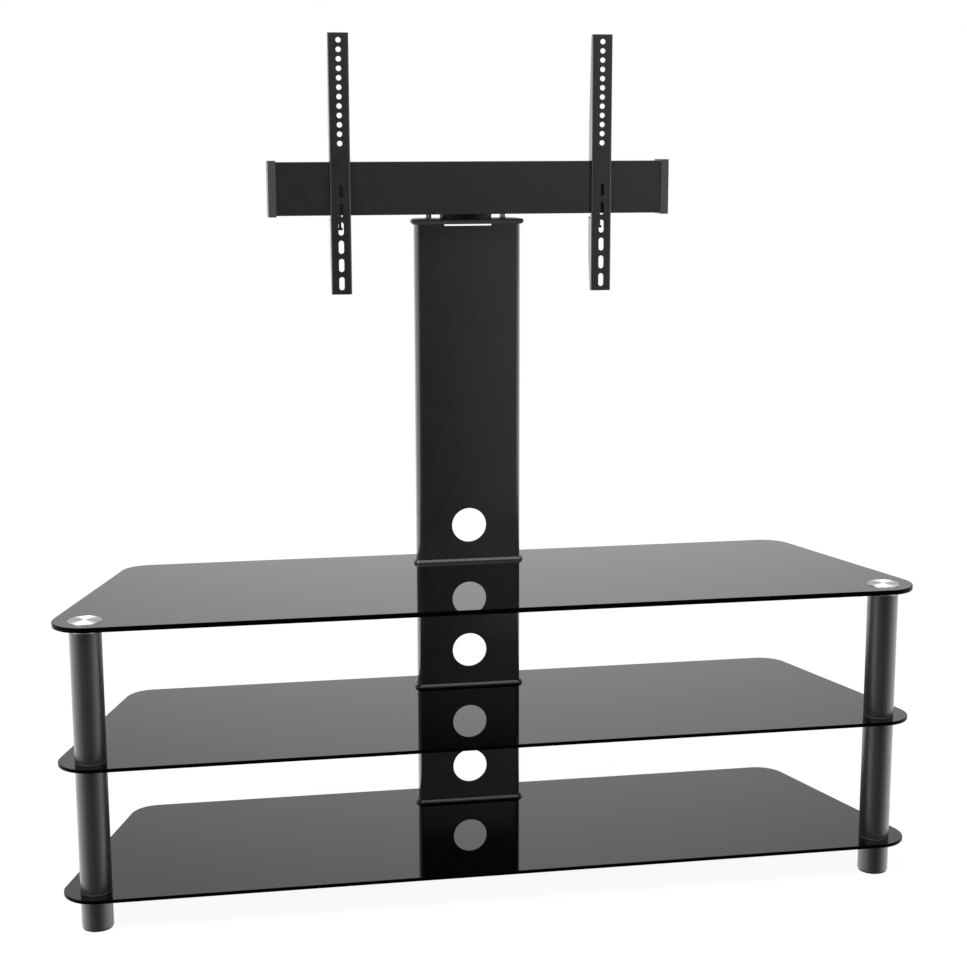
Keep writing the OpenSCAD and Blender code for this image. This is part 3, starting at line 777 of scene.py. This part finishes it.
# Heads and nuts of the M8 bolts, across their flats, with the height of a head on its washer, and the
# radius of their washers
M8_ACROSS = 13 * MM
M8_HEAD = 5.3 * MM
M8_WASHER_RADIUS = 8 * MM
# Sides of round shanks and washers
SHANK_SIDES = 20
WASHER_SIDES = 36

LIMIT_HEAD_ACROSS = 10 * MM
LIMIT_HEAD = 4 * MM
LIMIT_HEAD_CHAMFER = 0.6 * MM
# The thread ends this far under the top of the head
LIMIT_THREAD_END = 3.9 * MM
LIMIT_NUT_ACROSS = 11 * MM
LIMIT_NUT_CHAMFER = 0.4 * MM
# How far each of the two nuts has been turned, in degrees
NUT_TURN = (-8, -11)


def make_limit_bolts():
    """Two hexagon bolts down through the cap's slots. The corners of their heads reach the box's ends."""
    low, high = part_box("limit_bolts")
    nut_low, nut_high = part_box("limit_nuts")
    corner = LIMIT_HEAD_ACROSS / 2 / math.cos(math.pi / 6)
    bolts, nuts = Shape(), Shape()
    for x, turn in zip((low.x + corner, high.x - corner), NUT_TURN):
        place = upright(x, (low.y + high.y) / 2)
        bolts.turned(hex_block(LIMIT_HEAD_ACROSS, high.z - LIMIT_HEAD, high.z, LIMIT_HEAD_CHAMFER), place)
        bolts.thread(*M6, low.z, high.z - LIMIT_THREAD_END, place)
        turned = place @ Matrix.Rotation(math.radians(turn), 4, "Z")
        nuts.turned(hex_block(LIMIT_NUT_ACROSS, nut_low.z, nut_high.z, LIMIT_NUT_CHAMFER), turned)
    bolts.piece("limit_bolts_threaded", [zinc], "crossbar_head", "zinc_plate", ["limit_bolts"])
    nuts.piece("limit_nuts_chamfered", [zinc], "crossbar_head", "zinc_plate", ["limit_nuts"])


TIE_X = 70 * MM
TIE_Y = (142 * MM, 173 * MM)
TIE_SHANK_START = 5 * MM
TIE_CHAMFER = 0.8 * MM
TIE_WASHER = 1.6 * MM


def make_tie_bolts():
    """Long hexagon bolts that rise through the column to nuts on washers."""
    low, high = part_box("tie_bolts")
    nut_low, nut_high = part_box("tie_nuts")
    seat = nut_low.z + TIE_WASHER
    bolts, nuts = Shape(), Shape()
    for x in (-TIE_X, TIE_X):
        for y in TIE_Y:
            place = upright(x, y)
            bolts.turned(hex_block(M8_ACROSS, low.z, low.z + M8_HEAD, TIE_CHAMFER), place)
            bolts.cylinder(M8[0], low.z + TIE_SHANK_START, nut_low.z, place, SHANK_SIDES)
            bolts.thread(*M8, nut_low.z, high.z, place)
            nuts.cylinder(M8_WASHER_RADIUS, nut_low.z, seat, place, WASHER_SIDES)
            nuts.turned(hex_block(M8_ACROSS, seat, nut_high.z, TIE_CHAMFER), place)
    bolts.piece("tie_bolts_threaded", [zinc], "stand", "zinc_plate", ["tie_bolts"])
    nuts.piece("tie_nuts_chamfered", [zinc], "stand", "zinc_plate", ["tie_nuts"])


# Levels over the underside of the head, as levels() reads them
PIVOT_HEAD = ((0, 10), (1, 11), (4.5, 11))
PIVOT_SHANK_START = 4 * MM
PIVOT_SHANK_SIDES = 36
PIVOT_THREAD_SIDES = 28
PIVOT_WASHER = 1.8 * MM
PIVOT_WASHER_RADIUS = 15 * MM
PIVOT_NUT_ACROSS = 19 * MM
PIVOT_NUT_CHAMFER = 1 * MM
# Height of the ring that holds the locking nut's insert, and its levels from the nut's top
PIVOT_RING = 3 * MM
PIVOT_RING_LEVELS = ((-3, 8.8), (-0.8, 8.5), (0, 7.6))


def make_pivot():
    """The bolt that the head turns on, with its locking nut on a wide washer."""
    low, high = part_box("pivot_bolt")
    nut_low, nut_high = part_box("pivot_nut")
    centre = (low + high) / 2
    place = upright(centre.x, centre.y)
    seat, shoulder = nut_low.z + PIVOT_WASHER, nut_high.z - PIVOT_RING
    bolt, nut = Shape(), Shape()
    bolt.turned(levels(low.z, PIVOT_HEAD), place)
    bolt.cylinder(M12[0], low.z + PIVOT_SHANK_START, nut_low.z, place, PIVOT_SHANK_SIDES)
    bolt.thread(*M12, nut_low.z, high.z, place, PIVOT_THREAD_SIDES)
    nut.cylinder(PIVOT_WASHER_RADIUS, nut_low.z, seat, place)
    nut.turned(hex_block(PIVOT_NUT_ACROSS, seat, shoulder, PIVOT_NUT_CHAMFER), place)
    nut.turned(levels(nut_high.z, PIVOT_RING_LEVELS), place)
    bolt.piece("pivot_bolt_threaded", [zinc], "stand", "zinc_plate", ["pivot_bolt"])
    nut.piece("pivot_nut_locking", [zinc], "stand", "zinc_plate", ["pivot_nut"])


BAR_BOLT_X = 70 * MM
# Heights over the underside of the crossbar
BAR_BOLT_Z = (28 * MM, 62 * MM)
BAR_WASHER = 1.2 * MM
BAR_CHAMFER = 0.7 * MM
BAR_THREAD_INSIDE = 0.2 * MM


def make_bar_bolts():
    """Hexagon bolts with washers through the upright of the swivel bracket, their heads to the back."""
    low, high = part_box("bar_bolts")
    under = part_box("crossbar")[0].z
    base = high.y - M8_HEAD
    to_back = Matrix.Rotation(math.radians(-90), 4, "X")
    bolts = Shape()
    for x in (-BAR_BOLT_X, BAR_BOLT_X):
        for rise in BAR_BOLT_Z:
            place = Matrix.Translation((x, 0, under + rise)) @ to_back
            bolts.cylinder(M8_WASHER_RADIUS, base, base + BAR_WASHER, place)
            bolts.turned(hex_block(M8_ACROSS, base + BAR_WASHER, high.y, BAR_CHAMFER), place)
            bolts.thread(*M8, low.y, base + BAR_THREAD_INSIDE, place)
    bolts.piece("bar_bolts_threaded", [zinc], "crossbar_head", "zinc_plate", ["bar_bolts"])


CAP_SCREWS = ((80 * MM, 135 * MM), (75 * MM, 179 * MM))
# Levels of the head, from its top
CAP_SCREW_LEVELS = ((-2.8, 4.3), (-0.4, 4.3), (0, 3.9))
CAP_SOCKET_ACROSS = 3 * MM
CAP_SOCKET_DEPTH = 1.5 * MM
# The thread ends this far under the top of the head
CAP_THREAD_END = 2.7 * MM


def make_cap_screws():
    """Flat heads with a hexagon socket, sunk in the cap."""
    low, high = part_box("cap_screws")
    drive = hexagon(CAP_SOCKET_ACROSS)
    socket = [(high.z, drive), (high.z - CAP_SOCKET_DEPTH, drive)]
    screws = Shape()
    for x, y in CAP_SCREWS:
        for side in (-1, 1):
            place = upright(side * x, y)
            screws.turned(levels(high.z, CAP_SCREW_LEVELS) + socket, place)
            screws.thread(*M4, low.z, high.z - CAP_THREAD_END, place)
    screws.piece("cap_screws_socket", [black], "stand", "black_powder_coat", ["cap_screws"])


# Ridges round a knurled head, and their height beside its radius
KNURLS = 24
KNURL_HEIGHT = 0.03


def knurled(radius):
    """Radius of a knurled head, as a function of the angle."""
    def at(a):
        return radius * (1 - KNURL_HEIGHT * (round(a / (math.pi / KNURLS)) % 2))
    return at


LOCK_HEAD = 4 * MM
LOCK_HEAD_RADIUS = 4.5 * MM
LOCK_SOCKET_ACROSS = 4 * MM
LOCK_SOCKET_DEPTH = 2 * MM
# Levels from the underside of the head to where its knurling starts
LOCK_RIM = ((0, 4.1), (0.4, 4.5))
KNURLING_START = 0.5 * MM
LOCK_THREAD_INSIDE = 0.1 * MM
# Height of the plain tip, and its levels from its end
LOCK_TIP = 4 * MM
LOCK_TIP_LEVELS = ((-4.1, 1.6), (-0.5, 1.6), (0, 1.1))
LOCK_TIP_SIDES = 24


def make_lock_screw(side):
    """Knurled cap screw with a socket in the underside of its head and a plain tip."""
    node = "lock_screw_" + side
    low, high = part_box(node)
    centre = (low + high) / 2
    place = upright(centre.x, centre.y)
    head = low.z + LOCK_HEAD
    drive, grip = hexagon(LOCK_SOCKET_ACROSS), knurled(LOCK_HEAD_RADIUS)
    socket = [(low.z + LOCK_SOCKET_DEPTH, drive), (low.z, drive)]
    knurling = [(low.z + KNURLING_START, grip), (head, grip)]
    shape = Shape()
    shape.turned(socket + levels(low.z, LOCK_RIM) + knurling, place)
    shape.thread(*M5, head - LOCK_THREAD_INSIDE, high.z - LOCK_TIP, place)
    shape.turned(levels(high.z, LOCK_TIP_LEVELS), place, LOCK_TIP_SIDES)
    shape.piece(node + "_knurled", [black], "screw_" + side, "black_powder_coat", [node])


make_limit_bolts()
make_tie_bolts()
make_pivot()
make_bar_bolts()
make_cap_screws()
make_lock_screw("left")
make_lock_screw("right")


# Floor, world and lamps

class Stage(Nodes):
    """The node tree of the floor or the world, with ways to choose by kind of ray and by direction."""

    def __init__(self, tree):
        super().__init__(tree)
        path = self.add("ShaderNodeLightPath")
        self.glossy = path.outputs["Is Glossy Ray"]
        direct = self.math("MAXIMUM", path.outputs["Is Camera Ray"], path.outputs["Is Transmission Ray"])
        self.seen = self.math("MAXIMUM", direct, self.glossy)

    def band(self, value, middle, full, reach, level):
        """level where value is within full of the middle, and 0 beyond reach of it."""
        away = self.math("ABSOLUTE", self.math("SUBTRACT", value, middle))
        return self.ramp(away, full, reach, level, 0)

    def along(self, direction, axis):
        """How far that direction points along that axis, as a cosine."""
        return self.vector_math("DOT_PRODUCT", direction, axis).outputs["Value"]

    def choose(self, which, plain, other):
        """plain where which is 0, and other where it is 1."""
        node = self.add("ShaderNodeMix")
        self.feed([node.inputs[key] for key in ("Factor", "A", "B")], (which, plain, other))
        return node.outputs["Result"]

    def mix(self, factor, a, b):
        """Shader a where factor is 0, and b where it is 1."""
        node = self.add("ShaderNodeMixShader")
        self.feed(node.inputs, (factor, a, b))
        return node.outputs[0]


FLOOR_REACH = 12.0
FLOOR_DROP = 0.5 * MM
FLOOR_GREY = (0.85, 0.85, 0.85, 1)
# Where the floor is seen, the share of plain white in it, and the strength of that white
FLOOR_SHARE = 0.8
FLOOR_LEVEL = 1.16


def make_floor():
    """A white floor that keeps the stand's shadow. Reflections pass through it to the world's light."""
    reach = FLOOR_REACH
    mesh = bpy.data.meshes.new("floor")
    corners = [(-reach, -reach, 0), (reach, -reach, 0), (reach, reach, 0), (-reach, reach, 0)]
    mesh.from_pydata(corners, [], [(0, 1, 2, 3)])
    material = bpy.data.materials.new("floor")
    material.use_nodes = True
    stage = Stage(material.node_tree)
    lit = stage.add("ShaderNodeBsdfDiffuse", Color=FLOOR_GREY).outputs[0]
    plain = stage.add("ShaderNodeEmission", Strength=FLOOR_LEVEL).outputs[0]
    white = stage.mix(stage.math("MULTIPLY", stage.seen, FLOOR_SHARE), lit, plain)
    through = stage.add("ShaderNodeBsdfTransparent").outputs[0]
    output = stage.add("ShaderNodeOutputMaterial")
    stage.join(stage.mix(stage.glossy, white, through), output.inputs["Surface"])
    mesh.materials.append(material)
    floor = bpy.data.objects.new("floor", mesh)
    floor.location.z = -FLOOR_DROP
    bpy.context.scene.collection.objects.link(floor)


# What reflections see, by direction. A ramp is given as where it starts, where it ends, and its levels at
# both. A band is given as its middle, how far from it the band is full, how far it reaches, and its level.
# Levels are beside a white of 1. X, Y and Z are the direction's own.

# The backdrop's middle in degrees, and a ramp by the cosine from it
BACKDROP_AZIMUTH = 10.0
BACKDROP_RISE = 8.0
BACKDROP_GLOW = (0.952, 1.0, 0.7, 1.08)
# The direction of the patch overhead, and a ramp by the cosine from it
CEILING = (-0.3, 0.07, 0.95)
CEILING_GLOW = (0.82, 0.96, 0, 3.2)
# How the front dims the backdrop, by Y, and the darkest that it gets
FRONT_DIM = (-1.0, -0.3, 0.5, 1.0)
DARKEST = 0.03
# The walls, the right one by X and the left one by Y times LEFT_SLANT less X, and where both end, by Z
RIGHT_WALL = (0.5, 1.0, 0, 2.8)
LEFT_SLANT = 0.42
LEFT_WALL = (0.35, 1.08, 0, 2.85)
WALL_TOP = (0.0, 0.1, 1, 0)
# The bands in front, by Z, and where they end, by Y
LOW_BAND = (0.13, 0.02, 0.05, 1.0)
HIGH_BAND = (0.56, 0.12, 0.18, 3.5)
BAND_END = (-0.4, 0.0, 1, 0)
# The front's gentle gradient, by X and by Z, and a band by X and a ramp by Y of where it holds
SHADE_ACROSS = (0.03, 0.28, -0.26, 0.36)
SHADE_UP = (-0.25, 0.06, -0.22, 0.11)
SHADE_BAND = (0.165, 0.125, 0.3, 1.0)
SHADE_AHEAD = (-0.7, -0.5, 1, 0)
# The even grey that lights all that is not a reflection, and the white that is seen
FILL = 0.5
WHITE = 1.0


def make_world():
    """White where it is seen. Reflections see a backdrop that dims gently away from its middle, a low bright
    wall at each side, a bright patch overhead, and a dark front that lightens a little to the right and
    upwards, with two bright bands. The rest is lit by an even grey."""
    world = bpy.data.worlds.new("world")
    bpy.context.scene.world = world
    world.use_nodes = True
    stage = Stage(world.node_tree)
    direction = stage.add("ShaderNodeTexCoord").outputs["Generated"]
    axes = stage.parts(direction)
    azimuth, rise = math.radians(BACKDROP_AZIMUTH), math.radians(BACKDROP_RISE)
    middle = (math.sin(azimuth) * math.cos(rise), math.cos(azimuth) * math.cos(rise), math.sin(rise))
    backdrop = stage.ramp(stage.along(direction, middle), *BACKDROP_GLOW)
    front = stage.ramp(axes["Y"], *FRONT_DIM)
    ceiling = stage.ramp(stage.along(direction, CEILING), *CEILING_GLOW)

    leftward = stage.math("SUBTRACT", stage.math("MULTIPLY", axes["Y"], LEFT_SLANT), axes["X"])
    walls = stage.math("ADD", stage.ramp(axes["X"], *RIGHT_WALL), stage.ramp(leftward, *LEFT_WALL))
    walls = stage.math("MULTIPLY", walls, stage.ramp(axes["Z"], *WALL_TOP))
    bands = stage.math("ADD", stage.band(axes["Z"], *LOW_BAND), stage.band(axes["Z"], *HIGH_BAND))
    bands = stage.math("MULTIPLY", bands, stage.ramp(axes["Y"], *BAND_END))
    extra = stage.math("ADD", ceiling, stage.math("ADD", walls, bands))

    shade = stage.math("ADD", stage.ramp(axes["X"], *SHADE_ACROSS), stage.ramp(axes["Z"], *SHADE_UP))
    ahead = stage.math("MULTIPLY", stage.band(axes["X"], *SHADE_BAND), stage.ramp(axes["Y"], *SHADE_AHEAD))
    dimmed = stage.math("MULTIPLY", backdrop, front)
    shaded = stage.math("ADD", dimmed, stage.math("MULTIPLY", shade, ahead))
    mirrored = stage.math("ADD", stage.math("MAXIMUM", shaded, DARKEST), extra)
    level = stage.choose(stage.seen, FILL, stage.choose(stage.glossy, WHITE, mirrored))
    background = stage.add("ShaderNodeBackground", Color=(1, 1, 1, 1))
    stage.join(level, background.inputs["Strength"])
    output = stage.add("ShaderNodeOutputWorld")
    stage.join(background.outputs[0], output.inputs["Surface"])


def softbox(name, at, target, size, radiance):
    """A rectangular lamp of that size in metres and that brightness beside a white of 1."""
    data = bpy.data.lights.new(name, "AREA")
    data.shape = "RECTANGLE"
    data.size, data.size_y = size
    data.energy = radiance * math.pi * size[0] * size[1]
    lamp = bpy.data.objects.new(name, data)
    lamp.location = at
    lamp.rotation_euler = (Vector(target) - Vector(at)).to_track_quat("-Z", "Y").to_euler()
    lamp.visible_camera = False
    bpy.context.scene.collection.objects.link(lamp)


# Each lamp's place, what it points at, its size and its brightness, as softbox takes them
LAMPS = {
    "key": ((-2.4, -1.8, 3.0), (0, 0, 0.5), (1.0, 1.0), 13.0),
    "overhead": ((0.0, -1.3, 2.9), (0, 0.1, 0.5), (2.2, 1.6), 1.2),
}

make_floor()
make_world()
for lamp_name, lamp in LAMPS.items():
    softbox(lamp_name, *lamp)
bpy.context.scene.view_settings.view_transform = "Standard"
